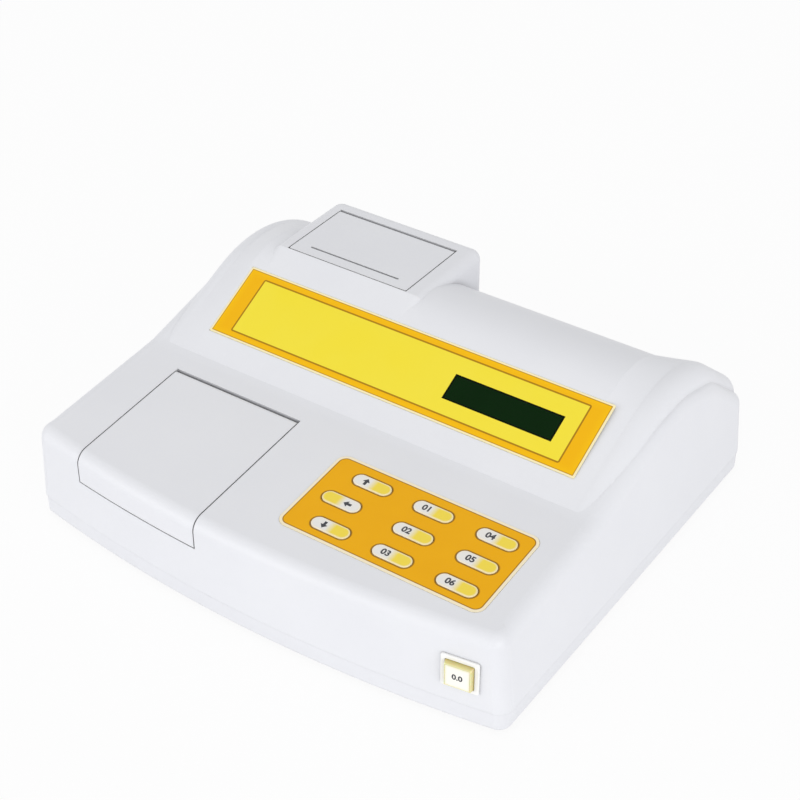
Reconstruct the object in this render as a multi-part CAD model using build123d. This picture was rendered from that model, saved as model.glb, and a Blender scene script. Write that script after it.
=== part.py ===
from build123d import *
import math
import os

# Benchtop colorimeter. Front faces -Y, +Z is up, millimetres.
# The origin is the middle of the footprint, on the table.

# Housing
bodyWidth = 358.0
bodyDepth = 323.0
bowRadius = 1000.0  # the front wall is bowed in plan
frontCornerRadius = 9.5
rearCornerRadius = 12.0
sideDraft = 0.088  # the side walls lean in as they rise from the parting line
edgeRadius = 9.0
wall = 3.0
footHeight = 2.6
heightDatum = 5.0  # the heights of the housing are counted from here
trayHeight = 11.0
seat = 0.05  # clearance between faces that lie on each other
fitGap = 0.3  # clearance of one moulding inside another

# Sloping deck and the rounded shoulders beside the hump
deckRise = 79.07  # deck above the datum, at y = 0
deckSlope = 0.0863
humpFootY = -36.0
shoulderFront = (42.0, 97.3)
shoulderBack = (80.0, 98.2)
shoulderDrop = (118.0, 86.5)
rearSlope = -0.828

# Hump with the display, its raised end rims and the printer hood
humpSlope = 0.503
humpRadius = 58.0
humpRearPoint = (96.0, 106.8)
humpRearSlope = -0.93
humpEnd = 168.0
rimStart = 138.0
rimFull = 155.0
rimSlope = 0.42
rimRadius = 95.0
rimRearPoint = (117.0, 97.6)
rimRearSlope = -0.811
rimEdge = 11.5
hoodLeft = -131.9
hoodRight = -9.8
hoodRear = 125.5
hoodTop = 119.5
hoodEdge = 7.0
hoodCorner = 8.0

# Tray, feet and screws
trayInset = 0.6
trayEdge = 1.5
trayFloor = 3.0
trayWall = 3.5
lipHeight = 2.5
footRadius = 9.0
footWeb = 0.6  # rubber between a foot screw's head and the tray
footPlaces = [(-145.0, -122.0), (145.0, -122.0), (-128.0, 132.0), (128.0, 132.0)]
screwRadius = 1.5
screwHeadRadius = 3.1
screwHead = 1.8
boardHeadRadius = 2.7
bossRadius = 3.0
screwHole = 0.2  # clearance of a screw in its hole
postPlaces = [(-165.0, -108.0), (165.0, -108.0), (-150.0, 128.0), (150.0, 128.0)]
postRadius = 4.5
postFoot = 9.0  # height of the tray's bosses above its underside

# Sample lid, compartment and optics
lidLeft = -133.4
lidRight = -33.7
lidRear = -54.3
lidLow = 45.0
lidGap = 0.9
lidWall = 3.0
barrelRadius = 3.0
pinRadius = 1.25
pinGap = 0.05
pinLength = 18.0
pinInside = 11.4  # part of each pin inside the lid
lugWidth = 7.0
flangeDepth = 6.3
flangeWall = 2.0
flangeRim = 4.0
wellLeft = -122.0
wellRight = -45.0
wellFront = -138.0
wellRear = -70.0
wellFloor = 21.0
wellWall = 2.0
sealWidth = 3.0
sealSetback = 9.0
holderBase = (60.0, 60.0, 4.0)
holderBlock = (24.0, 24.0, 32.0)
cuvetteSide = 12.6
beamHeight = 41.0
beamRadius = 3.0
housingWidth = 26.0
housingHeight = 54.0
lightLength = 28.0
detectorLength = 26.8
opticRadius = 6.15
lensRim = 1.4
lensBulge = 2.0

# Keypad
overlayCentre = (80.55, -99.5)
overlayWidth = 144.3
overlayDepth = 70.0
overlayCorner = 7.0
overlayThick = 0.6
pocketDepth = 0.4
pocketGap = 0.15
keyLength = 26.6
keyWidth = 9.6
keyGap = 0.35
keyProud = 0.5
keyFlange = 1.2
keyFlangeThick = 0.8
keyTravel = 0.5
keyColumns = [40.5, 84.8, 129.4]
keyRows = [-78.7, -100.3, -121.7]
leftKeyShift = -7.6
boardThick = 1.6
keypadBoardSize = (150.0, 76.0)
keypadBoardDepth = 7.5
keypadScrews = (68.5, 33.0)

# Display
labelLow = -18.2
labelLeft = -135.5
labelRight = 144.8
labelSlant = 54.7
windowLeft = 40.3
windowWidth = 79.5
windowLow = 16.7
windowHeight = 19.0
windowRest = 1.6
displayBezel = (92.0, 30.0, 7.5)
displayBoardSize = (106.0, 46.0)
displayScrews = (48.0, 18.5)

# Printer
coverLeft = -120.2
coverRight = -24.5
coverFront = 51.8
coverRear = 112.2
coverWall = 2.5
coverBarrel = 2.5
coverGap = 0.8
coverLugWidth = 4.5
coverPinRadius = 1.0
coverPinLength = 12.0
coverPinInside = 8.0
slotSetback = 9.0
slotLength = 72.2
slotWidth = 1.6
frameInset = 1.8
frameWall = 2.0
frameDepth = 50.0
rollRadius = 15.0
rollWidth = 72.0
rollCentre = (86.0, 85.0)
spindleRadius = 3.0
spindleFlange = 7.0
platenRadius = 5.0
platenCentre = (65.2, 105.0)
shaftRadius = 1.5
gearModule = 0.6
platenTeeth = 30
pinionTeeth = 14
gearWidth = 3.0
motorRadius = 6.5
motorLength = 13.5
headThick = 4.1
headHeight = 12.0

# Push button on the front wall
buttonX = 151.0
buttonZ = 35.0
bezelSide = 24.0
bezelThick = 1.4
barrelSide = 20.6
capSide = 18.0
capTaper = 0.8
capGap = 0.25
capProud = 4.6
faceMargin = 0.7
capDepth = 6.5
buttonTravel = 2.5
buttonDepth = 12.0

# Rear panel and its connectors
panelCentreX = 45.0
panelWidth = 182.0
panelLow = 17.4
panelHigh = 41.6
panelRecess = 8.0
panelSheet = 1.2
panelFlange = 6.0
inletX = 100.0
inletFlange = (50.0, 21.4, 2.0)
inletBody = (27.0, 19.6, 22.0)
fuseX = 56.0
fuseBody = 6.4
fuseFlange = 8.0
fuseKnob = 6.2
fuseCarrier = 3.6
fuseLength = 30.0
switchX = 20.0
switchBezel = (21.0, 15.0, 1.5)
switchBody = (19.0, 13.0, 18.5)
rockerTilt = 10.0
serialX = -20.0
serialFlange = (31.0, 12.5, 0.8)

# Electronics
mainBoardLeft = -5.0
mainBoardRight = 153.0
mainBoardFront = -70.0
mainBoardRear = 50.0
mainBoardHeight = 11.0
transformerAt = (95.0, 86.0)
transformerCore = (56.0, 22.0, 46.0)
transformerCoil = (37.0, 42.0, 30.0)

base = heightDatum
floorTop = footHeight + trayFloor
seam = base + trayHeight
half = bodyWidth / 2
rear = bodyDepth / 2
far = 400.0


def deckZ(y):
    return base + deckRise + deckSlope * y


def humpZ(y):
    return deckZ(humpFootY) + humpSlope * (y - humpFootY)


deckAngle = math.degrees(math.atan(deckSlope))
humpAngle = math.degrees(math.atan(humpSlope))


# ---- shared shapes

def box(x0, x1, y0, y1, z0, z1):
    centre = Pos((x0 + x1) / 2, (y0 + y1) / 2, (z0 + z1) / 2)
    return centre * Box(x1 - x0, y1 - y0, z1 - z0)


def rodX(x0, x1, y, z, radius):
    return Pos((x0 + x1) / 2, y, z) * Rot(0, 90, 0) * Cylinder(radius, x1 - x0)


def rodY(y0, y1, x, z, radius):
    return Pos(x, (y0 + y1) / 2, z) * Rot(90, 0, 0) * Cylinder(radius, y1 - y0)


def rodZ(z0, z1, x, y, radius):
    return Pos(x, y, (z0 + z1) / 2) * Cylinder(radius, z1 - z0)


def slab(face, z0, z1):
    return Pos(0, 0, z0) * extrude(face, amount=z1 - z0)


def group(pieces):
    return Compound(children=[solid for piece in pieces for solid in piece.solids()])


# ---- the outer form: one function, built again at any inset to make shells

def offsetChain(points, inset):
    runs = []
    for (y0, z0), (y1, z1) in zip(points, points[1:]):
        length = math.hypot(y1 - y0, z1 - z0)
        dy = (y1 - y0) / length
        dz = (z1 - z0) / length
        runs.append((y0 + dz * inset, z0 - dy * inset, dy, dz))
    moved = [runs[0][:2]]
    for (ya, za, dya, dza), (yb, zb, dyb, dzb) in zip(runs, runs[1:]):
        cross = dya * dzb - dza * dyb
        along = ((yb - ya) * dzb - (zb - za) * dyb) / cross
        moved.append((ya + dya * along, za + dza * along))
    dy, dz = runs[-1][2:]
    moved.append((points[-1][0] + dz * inset, points[-1][1] - dy * inset))
    return moved


def chainFace(points, radii, inset, floor):
    moved = offsetChain(points, inset)
    rounds = []
    for (y0, z0), (y1, z1), (y2, z2), radius in zip(points, points[1:], points[2:], radii):
        turn = (y1 - y0) * (z2 - z1) - (z1 - z0) * (y2 - y1)
        rounds.append(radius - inset if turn < 0 else radius + inset)
    top = FilletPolyline(*moved, radius=rounds)
    rest = Polyline(moved[-1], (moved[-1][0], floor), (moved[0][0], floor), moved[0])
    return make_face(top.edges() + rest.edges())


def prismX(face, x0, x1):
    return extrude(Plane.YZ.offset(x0) * face, amount=x1 - x0, dir=(1, 0, 0))


def planFace(inset, lean=0.0):
    side = half - inset - lean
    back = rear - inset
    radius = bowRadius - inset
    centreY = bowRadius - rear
    cornerY = centreY - math.sqrt(radius ** 2 - side ** 2)
    bow = ThreePointArc((-side, cornerY), (0, centreY - radius), (side, cornerY))
    sides = Polyline((side, cornerY), (side, back), (-side, back), (-side, cornerY))
    face = make_face(bow.edges() + sides.edges())
    face = fillet([v for v in face.vertices() if v.Y > 0], rearCornerRadius - inset)
    fronts = [v for v in face.vertices() if v.Y < cornerY + 1]
    return fillet(fronts, max(frontCornerRadius - inset, 0.8))


def wallForm(inset):
    lower = Pos(0, 0, seam) * planFace(inset)
    upper = Pos(0, 0, seam + 140) * planFace(inset, 140 * sideDraft)
    return extrude(planFace(inset), amount=seam) + loft([lower, upper], ruled=True)


def frontY(x, inset=0.0):
    return bowRadius - rear - math.sqrt((bowRadius - inset) ** 2 - x ** 2)


deckChain = [
    (-220.0, deckZ(-220.0)),
    (humpFootY, deckZ(humpFootY)),
    (shoulderFront[0], base + shoulderFront[1]),
    (shoulderBack[0], base + shoulderBack[1]),
    (shoulderDrop[0], base + shoulderDrop[1]),
    (190.0, base + shoulderDrop[1] + rearSlope * (190.0 - shoulderDrop[0])),
]
deckRounds = [60.0, 90.0, 60.0, 50.0]


def risingChain(slope, point, backSlope):
    # straight rise from the deck, a vertex, then a straight fall at the rear
    startY, startZ = humpFootY, deckZ(humpFootY)
    pointY, pointZ = point[0], base + point[1]
    vertexY = (pointZ - backSlope * pointY - startZ + slope * startY) / (slope - backSlope)
    vertexZ = startZ + slope * (vertexY - startY)
    return [
        (startY - 24.0, startZ - slope * 24.0),
        (vertexY, vertexZ),
        (175.0, pointZ + backSlope * (175.0 - pointY)),
    ]


humpChain = risingChain(humpSlope, humpRearPoint, humpRearSlope)
rimChain = risingChain(rimSlope, rimRearPoint, rimRearSlope)
hoodFrontY = humpFootY + (base + hoodTop - deckZ(humpFootY)) / humpSlope
hoodChain = [
    (20.0, humpZ(20.0)),
    (hoodFrontY, base + hoodTop),
    (hoodRear, base + hoodTop),
    (hoodRear + 0.001, base),
]


def lowerForm(inset):
    block = wallForm(inset) & prismX(chainFace(deckChain, deckRounds, inset, -10.0), -far, far)
    rims = []
    for edge in block.edges():
        middle = edge.center()
        start, end = edge.start_point(), edge.end_point()
        straight = edge.geom_type == GeomType.LINE
        upright = straight and abs(start.Z - end.Z) > 30
        across = straight and abs(start.Y - end.Y) < 0.001 and middle.Y < rear - inset - 1
        if middle.Z > seam and not upright and not across:
            rims.append(edge)
    return fillet(rims, max(edgeRadius - inset, 0.6))


def humpForm(inset):
    section = chainFace(humpChain, [humpRadius], inset, base)
    rim = chainFace(rimChain, [rimRadius], inset, base)
    hump = prismX(section, -rimStart, rimStart)
    for side in (-1, 1):
        inner = Plane.YZ.offset(side * rimStart) * section
        outer = Plane.YZ.offset(side * rimFull) * rim
        end = side * (humpEnd - inset)
        cap = prismX(rim, min(side * rimFull, end), max(side * rimFull, end))
        edges = [e for e in cap.edges() if abs(e.center().X - end) < 0.001 and e.bounding_box().size.Y > 1]
        cap = fillet([e for e in edges if e.center().Z > base + 20], rimEdge - inset)
        hump = hump + loft([inner, outer], ruled=True) + cap
    return hump & wallForm(inset + 0.6)


def hoodForm(inset):
    chain = offsetChain(hoodChain, inset)
    face = make_face(Polyline(*chain, (chain[0][0], chain[-1][1]), close=True))
    hood = prismX(face, hoodLeft + inset, hoodRight - inset)
    edgeY = chain[1][0]
    upright = hood.edges().filter_by(Axis.Z, tolerance=0.01)
    hood = fillet([e for e in upright if e.center().Y > hoodRear - inset - 1], hoodCorner - inset)
    # the rims round the flat top, then the two edges that run down the front slope
    rims = [e for e in hood.edges() if e.center().Z > base + hoodTop - inset - 0.01]
    rims = [e for e in rims if e.center().Y > edgeY + 1]
    slopes = [e for e in hood.edges() if 20 < e.center().Y < edgeY - 1 and e.center().Z > base + 60]
    slopes = [e for e in slopes if e.bounding_box().size.X < 0.01 and e.bounding_box().size.Y > 5]
    return fillet(rims + slopes, hoodEdge - inset)


def bodyForm(inset):
    return lowerForm(inset) + humpForm(inset) + hoodForm(inset)


# ---- local frames: the keypad lies on the deck, the label on the hump's slope

def slopeFrame(x, y, z, angle):
    tilt = math.radians(angle)
    return Plane(origin=(x, y, z), x_dir=(1, 0, 0), z_dir=(0, -math.sin(tilt), math.cos(tilt)))


keypadFrame = slopeFrame(overlayCentre[0], overlayCentre[1], deckZ(overlayCentre[1]), deckAngle)
labelMidY = labelLow + labelSlant / 2 * math.cos(math.radians(humpAngle))
labelMidX = (labelLeft + labelRight) / 2
labelFrame = slopeFrame(labelMidX, labelMidY, humpZ(labelMidY), humpAngle)
windowX = windowLeft + windowWidth / 2 - labelMidX
windowY = windowLow + windowHeight / 2 - labelSlant / 2


def keyPlaces():
    # the left arrow key sits a little to the left of its column
    names = ["up", "left", "down", "test", "zero", "set", "mode", "store", "print"]
    places = []
    for column, x in enumerate(keyColumns):
        for row, y in enumerate(keyRows):
            name = names[column * len(keyRows) + row]
            shift = leftKeyShift if name == "left" else 0.0
            localY = (y - overlayCentre[1]) / math.cos(math.radians(deckAngle))
            places.append((name, x + shift - overlayCentre[0], localY))
    return places


buttonNormal = (buttonX / bowRadius, -math.sqrt(1 - (buttonX / bowRadius) ** 2), 0.0)
buttonFrame = Plane(
    origin=(buttonX, frontY(buttonX), base + buttonZ),
    x_dir=(-buttonNormal[1], buttonNormal[0], 0),
    z_dir=buttonNormal,
)

lidAxisY = lidRear - barrelRadius
lidAxisZ = deckZ(lidAxisY) - barrelRadius / math.cos(math.radians(deckAngle))
coverAxisY = coverRear - coverBarrel
coverAxisZ = base + hoodTop - coverBarrel


# ---- housing

def lidOpening(grow):
    return box(lidLeft - lidGap - grow, lidRight + lidGap + grow, -far, lidRear + lidGap + grow,
               base + lidLow - lidGap - grow, far)


def lidLug(side, grow=0.0):
    x = lidLeft - lidGap if side < 0 else lidRight + lidGap + lugWidth
    reach = barrelRadius + 1.0 + grow
    return box(x - lugWidth - grow if side < 0 else x - lugWidth,
               x if side < 0 else x + grow,
               lidAxisY - reach, lidAxisY + reach, lidAxisZ - reach, lidAxisZ + reach)


def coverLug(side, grow=0.0):
    x = coverLeft - coverGap if side < 0 else coverRight + coverGap + coverLugWidth
    reach = coverBarrel + 0.8 + grow
    return box(x - coverLugWidth, x, coverAxisY - reach, coverAxisY + reach,
               coverAxisZ - reach, coverAxisZ + reach)


def hingePins(left, right, gap, length, y, z, radius, inside):
    pins = []
    for x, side in ((left - gap, -1), (right + gap, 1)):
        outer = x + side * (length - inside)
        inner = x - side * inside
        pins.append(rodX(min(inner, outer), max(inner, outer), y, z, radius))
    return pins


def makeTopCover():
    reach = bodyForm(wall / 2)
    cover = bodyForm(0.0) - bodyForm(wall)
    extras = []
    for x, y in postPlaces:
        extras.append(rodZ(base + postFoot + seat, far / 2, x, y, postRadius))
    for x in (-keypadScrews[0], keypadScrews[0]):
        for y in (-keypadScrews[1], keypadScrews[1]):
            extras.append(keypadFrame * rodZ(-keypadBoardDepth, -wall / 2, x, y, bossRadius))
    for x in (-displayScrews[0], displayScrews[0]):
        for y in (-displayScrews[1], displayScrews[1]):
            boss = rodZ(-wall - displayBezel[2], -wall / 2, windowX + x, windowY + y, bossRadius)
            extras.append(labelFrame * boss)
    for side in (-1, 1):
        extras.append(lidLug(side))
        extras.append(coverLug(side))
    for extra in extras:
        cover = cover + (extra & reach)
    cover = cover & box(-far, far, -far, far, seam, far)
    cover = cover - lidOpening(0.0)
    for pin in lidPinRods(0.02) + coverPinRods(0.02):
        cover = cover - pin
    cover = cover - box(coverLeft - coverGap, coverRight + coverGap, coverFront - coverGap,
                        coverRear + coverGap, base + hoodTop - 4 * wall, far)
    for x, y in postPlaces:
        cover = cover - rodZ(base, base + postFoot + 12.0, x, y, screwRadius + seat)
    # keypad pocket, key holes and blind holes for its board screws
    pocket = RectangleRounded(overlayWidth + 2 * pocketGap, overlayDepth + 2 * pocketGap,
                              overlayCorner + pocketGap)
    cuts = [keypadFrame * slab(pocket, -pocketDepth, 5.0)]
    for _, x, y in keyPlaces():
        hole = SlotOverall(keyLength + 2 * keyGap, keyWidth + 2 * keyGap)
        cuts.append(keypadFrame * (Pos(x, y, 0) * slab(hole, -2 * wall, 1.0)))
    # label pocket and the opening behind the display window
    labelPocket = Rectangle(labelRight - labelLeft + 2 * pocketGap, labelSlant + 2 * pocketGap)
    cuts.append(labelFrame * slab(labelPocket, -pocketDepth, 5.0))
    sight = Rectangle(windowWidth - 2 * windowRest, windowHeight - 2 * windowRest)
    cuts.append(labelFrame * (Pos(windowX, windowY, 0) * slab(sight, -2 * wall, 1.0)))
    # button hole, rear panel window and screw holes
    cuts.append(buttonFrame * Box(barrelSide + 2 * fitGap, barrelSide + 2 * fitGap, 4 * wall))
    cuts.append(box(panelCentreX - panelWidth / 2 - fitGap, panelCentreX + panelWidth / 2 + fitGap,
                    rear - 2 * wall, rear + wall, base + panelLow - fitGap, base + panelHigh + fitGap))
    cuts += screwShanks(seat)
    for cut in cuts:
        cover = cover - cut
    return cover


def lidPinRods(gap):
    return hingePins(lidLeft, lidRight, lidGap, pinLength, lidAxisY, lidAxisZ, pinRadius + gap, pinInside)


def coverPinRods(gap):
    return hingePins(coverLeft, coverRight, coverGap, coverPinLength, coverAxisY, coverAxisZ,
                     coverPinRadius + gap, coverPinInside)


def makeBaseTray():
    outer = slab(planFace(trayInset), footHeight, seam)
    rims = [e for e in outer.edges() if abs(e.center().Z - footHeight) < 0.001]
    outer = fillet(rims, trayEdge)
    tray = outer - slab(planFace(trayInset + trayWall), floorTop, seam + 1)
    lip = slab(planFace(wall + fitGap, sideDraft * lipHeight), seam - 1, seam + lipHeight)
    lip = lip - slab(planFace(trayInset + trayWall), seam - 2, seam + lipHeight + 1)
    tray = tray + lip
    for x, y in postPlaces:
        tray = tray + rodZ(floorTop - 1, base + postFoot, x, y, postRadius + 1.0)
    for x, y in footPlaces:
        tray = tray + rodZ(floorTop - 1, floorTop + 5, x, y, 4.5)
    for x in (wellLeft + 6, wellRight - 6):
        for y in (wellFront + 6, wellRear - 6):
            tray = tray + rodZ(floorTop - 1, base + wellFloor - wellWall - seat, x, y, 4.0)
    for x, y in mainBoardScrews():
        tray = tray + rodZ(floorTop - 1, base + mainBoardHeight, x, y, 3.5)
    for x, y in postPlaces:
        tray = tray - rodZ(0, base + postFoot + 1, x, y, screwRadius + screwHole)
        tray = tray - rodZ(0, footHeight + screwHead + 0.4, x, y, screwHeadRadius + 0.3)
    for x, y in footPlaces:
        tray = tray - rodZ(0, floorTop + 3.5, x, y, screwRadius + seat)
    for cut in screwShanks(seat)[:4]:
        tray = tray - cut
    # cooling slots under the transformer
    for step in range(6):
        x = transformerAt[0] - 25 + step * 10
        tray = tray - Pos(x, transformerAt[1] - 38, base) * Box(4, 26, 10)
    return tray


def makeFeet():
    feet = []
    for x, y in footPlaces:
        foot = Pos(x, y, footHeight / 2) * Cone(footRadius - 0.6, footRadius, footHeight)
        foot = foot - rodZ(-1, footHeight - footWeb, x, y, screwHeadRadius + 0.5)
        foot = foot - rodZ(-1, footHeight + 1, x, y, screwRadius + screwHole)
        feet.append(foot)
    return group(feet)


def screw(x, y, headTop, length):
    # pan-head screw pointing up: the head's upper face lies on what it holds
    head = rodZ(headTop - screwHead, headTop, x, y, screwHeadRadius)
    shank = rodZ(headTop - 0.5, headTop + length, x, y, screwRadius)
    slot = Pos(x, y, headTop - screwHead) * (Box(3.6, 0.8, 1.4) + Box(0.8, 3.6, 1.4))
    return head + shank - slot


def makeFootScrews():
    return group([screw(x, y, footHeight - footWeb, 6.5) for x, y in footPlaces])


def makeCoverScrews():
    return group([screw(x, y, footHeight + screwHead + 0.4, 17.0) for x, y in postPlaces])


def mainBoardScrews():
    xs = (mainBoardLeft + 6, mainBoardRight - 6)
    ys = (mainBoardFront + 6, mainBoardRear - 6)
    return [(x, y) for x in xs for y in ys]


def panelScrews():
    xs = (panelCentreX - panelWidth / 2 - 3.2, panelCentreX + panelWidth / 2 + 3.2)
    zs = (base + panelLow + 5, base + panelHigh - 5)
    return [(x, z) for x in xs for z in zs]


def screwShanks(gap):
    # main board, keypad board, display board and rear panel, in this order
    radius = screwRadius + gap
    top = base + mainBoardHeight + boardThick
    shanks = [rodZ(top - 6.0, top + 0.5, x, y, radius) for x, y in mainBoardScrews()]
    low = -keypadBoardDepth - boardThick
    for x in (-keypadScrews[0], keypadScrews[0]):
        for y in (-keypadScrews[1], keypadScrews[1]):
            shanks.append(keypadFrame * rodZ(low - 0.5, low + 5.5, x, y, radius))
    low = -wall - displayBezel[2] - boardThick
    for x in (-displayScrews[0], displayScrews[0]):
        for y in (-displayScrews[1], displayScrews[1]):
            shanks.append(labelFrame * rodZ(low - 0.5, low + 6.5, windowX + x, windowY + y, radius))
    inner = rear - wall - seat - panelSheet
    for x, z in panelScrews():
        shanks.append(rodY(inner - 0.5, inner + 3.2, x, z, radius))
    return shanks


def makeBoardScrews():
    shanks = screwShanks(0.0)
    heads = []
    top = base + mainBoardHeight + boardThick
    heads += [rodZ(top, top + screwHead, x, y, boardHeadRadius) for x, y in mainBoardScrews()]
    low = -keypadBoardDepth - boardThick
    for x in (-keypadScrews[0], keypadScrews[0]):
        for y in (-keypadScrews[1], keypadScrews[1]):
            heads.append(keypadFrame * rodZ(low - screwHead, low, x, y, boardHeadRadius))
    low = -wall - displayBezel[2] - boardThick
    for x in (-displayScrews[0], displayScrews[0]):
        for y in (-displayScrews[1], displayScrews[1]):
            heads.append(labelFrame * rodZ(low - screwHead, low, windowX + x, windowY + y, boardHeadRadius))
    inner = rear - wall - seat - panelSheet
    heads += [rodY(inner - screwHead, inner, x, z, boardHeadRadius) for x, z in panelScrews()]
    return group([head + shank for head, shank in zip(heads, shanks)])


# ---- sample lid, compartment and optics

def makeSampleLid():
    shell = lowerForm(0.0) - lowerForm(lidWall)
    lid = shell & box(lidLeft, lidRight, -far, lidAxisY, base + lidLow, far)
    lid = lid + rodX(lidLeft, lidRight, lidAxisY, lidAxisZ, barrelRadius)
    for pin in lidPinRods(pinGap):
        lid = lid - pin
    return lid


def makeLidPins():
    return group(lidPinRods(0.0))


def makeLidSeal():
    layer = lowerForm(lidWall) - lowerForm(flangeDepth - fitGap)
    outer = box(lidLeft + sealSetback, lidRight - sealSetback, wellFront - 6, lidAxisY - sealSetback + 2,
                base + 50, far)
    inner = box(lidLeft + sealSetback + sealWidth, lidRight - sealSetback - sealWidth,
                wellFront - 6 + sealWidth, lidAxisY - sealSetback + 2 - sealWidth, base, far)
    return layer & (outer - inner)


def makeSampleWell():
    grow = 1.0 + flangeRim
    zone = lidOpening(grow) & box(-far, far, -far, far, 0, far)
    plate = (lowerForm(flangeDepth) - lowerForm(flangeDepth + flangeWall)) & zone
    rim = (lowerForm(wall + seat) - lowerForm(flangeDepth + flangeWall)) & zone
    rim = rim - lidOpening(1.0)
    mouth = box(wellLeft, wellRight, wellFront, wellRear, base + wellFloor, far)
    tub = box(wellLeft - wellWall, wellRight + wellWall, wellFront - wellWall, wellRear + wellWall,
              base + wellFloor - wellWall, far)
    well = plate + rim + (tub & lowerForm(flangeDepth))
    well = well - mouth
    for side in (-1, 1):
        well = well - lidLug(side, fitGap)
    beam = rodX(wellLeft - 5, wellRight + 5, beamY(), base + beamHeight, beamRadius + 1)
    return well - beam


def beamY():
    return (wellFront + wellRear) / 2


def makeCuvetteHolder():
    x = (wellLeft + wellRight) / 2
    z = base + wellFloor
    holder = Pos(x, beamY(), z + holderBase[2] / 2) * Box(*holderBase)
    block = Pos(x, beamY(), z + holderBase[2] + holderBlock[2] / 2) * Box(*holderBlock)
    block = fillet(block.edges().filter_by(Axis.Z), 2.0)
    holder = holder + block
    well = Box(cuvetteSide, cuvetteSide, holderBlock[2])
    holder = holder - Pos(x, beamY(), z + holderBase[2] + 2 + holderBlock[2] / 2) * well
    return holder - rodX(x - 20, x + 20, beamY(), base + beamHeight, beamRadius)


def opticBlock(x0, x1):
    y = beamY()
    block = box(x0, x1, y - housingWidth / 2, y + housingWidth / 2, floorTop, base + housingHeight)
    return fillet(block.edges().filter_by(Axis.Z), 2.0)


lightRight = wellLeft - wellWall - 0.2
detectorLeft = wellRight + wellWall + 0.2


def makeLightHousing():
    block = opticBlock(lightRight - lightLength, lightRight)
    z = base + beamHeight
    block = block - rodX(lightRight - lightLength + 6, lightRight + 1, beamY(), z, opticRadius + seat)
    return block - rodX(lightRight - lightLength - 1, lightRight, beamY(), z, 2.75)


def makeLamp():
    x = lightRight - lightLength
    z = base + beamHeight
    lamp = rodX(x - 1.6, x, beamY(), z, 3.4) + rodX(x - 0.5, x + 6.5, beamY(), z, 2.65)
    lamp = lamp + Pos(x + 6.5, beamY(), z) * Sphere(2.65)
    for side in (-1, 1):
        lamp = lamp + rodX(x - 7, x - 1, beamY() + side * 1.27, z, 0.3)
    return lamp


def makeLens():
    z = base + beamHeight
    radius = (opticRadius ** 2 + lensBulge ** 2) / (2 * lensBulge)
    half = math.asin(opticRadius / radius) / 2
    bulge = (lensRim + lensBulge - radius * (1 - math.cos(half)), radius * math.sin(half))
    curve = ThreePointArc((lensRim, opticRadius), bulge, (lensRim + lensBulge, 0))
    sides = Polyline((lensRim + lensBulge, 0), (0, 0), (0, opticRadius), (lensRim, opticRadius))
    lens = revolve(make_face(curve.edges() + sides.edges()), Axis.X)
    return Pos(lightRight - 13, beamY(), z) * lens


def makeFilter():
    return rodX(lightRight - 4.5, lightRight - 2.5, beamY(), base + beamHeight, opticRadius)


def makeDetectorHousing():
    block = opticBlock(detectorLeft, detectorLeft + detectorLength)
    bore = rodX(detectorLeft - 1, detectorLeft + 18, beamY(), base + beamHeight, 4.7)
    back = rodX(detectorLeft, detectorLeft + detectorLength + 1, beamY(), base + beamHeight, 3.0)
    return block - bore - back


def makeDetector():
    x = detectorLeft + 18
    z = base + beamHeight
    can = rodX(x - 5, x, beamY(), z, 4.2) + rodX(x - 1.2, x, beamY(), z, 4.65)
    can = can - rodX(x - 6, x - 4, beamY(), z, 2.5)
    for side in (-1, 1):
        can = can + rodX(x - 1, x + 12, beamY() + side * 1.3, z, 0.3)
    return can


# ---- keypad

def makeOverlay():
    sheet = RectangleRounded(overlayWidth, overlayDepth, overlayCorner)
    for _, x, y in keyPlaces():
        sheet = sheet - Pos(x, y) * SlotOverall(keyLength + 2 * keyGap, keyWidth + 2 * keyGap)
    return keypadFrame * slab(sheet, -pocketDepth, overlayThick - pocketDepth)


def makeKey(x, y):
    top = overlayThick - pocketDepth + keyProud
    cap = slab(SlotOverall(keyLength, keyWidth), -wall - 0.4, top)
    rims = [e for e in cap.edges() if abs(e.center().Z - top) < 0.001]
    cap = fillet(rims, 0.4)
    wide = SlotOverall(keyLength + 2 * keyFlange, keyWidth + 2 * keyFlange)
    cap = cap + slab(wide, -wall - keyFlangeThick, -wall)
    cap = cap + rodZ(-wall - keyFlangeThick - 1.0, -wall, 0, 0, 2.0)
    return keypadFrame * (Pos(x, y, 0) * cap)


def makeKeypadBoard():
    board = slab(RectangleRounded(*keypadBoardSize, 2.0), -keypadBoardDepth - boardThick, -keypadBoardDepth)
    for x in (-keypadScrews[0], keypadScrews[0]):
        for y in (-keypadScrews[1], keypadScrews[1]):
            board = board - rodZ(-20, 0, x, y, screwRadius + screwHole)
    header = Pos(0, 28, -keypadBoardDepth - boardThick - 3) * Box(34, 6, 6)
    return keypadFrame * (board + header)


def makeKeypadSwitches():
    switches = []
    underKey = -wall - keyFlangeThick - 1.0 - keyTravel - 0.1
    for _, x, y in keyPlaces():
        body = Pos(x, y, 0) * slab(Rectangle(6.2, 6.2), -keypadBoardDepth, underKey - 0.5)
        switches.append(keypadFrame * (body + rodZ(underKey - 0.6, underKey, x, y, 1.7)))
    return group(switches)


# ---- display

def makeLabel():
    sheet = Rectangle(labelRight - labelLeft, labelSlant)
    sheet = fillet(sheet.vertices(), 1.0)
    sheet = sheet - Pos(windowX, windowY) * Rectangle(windowWidth, windowHeight)
    return labelFrame * slab(sheet, -pocketDepth, overlayThick - pocketDepth)


def makeWindow():
    pane = Pos(windowX, windowY) * Rectangle(windowWidth - 2 * seat, windowHeight - 2 * seat)
    return labelFrame * slab(pane, -pocketDepth, overlayThick - pocketDepth - 0.1)


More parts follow.
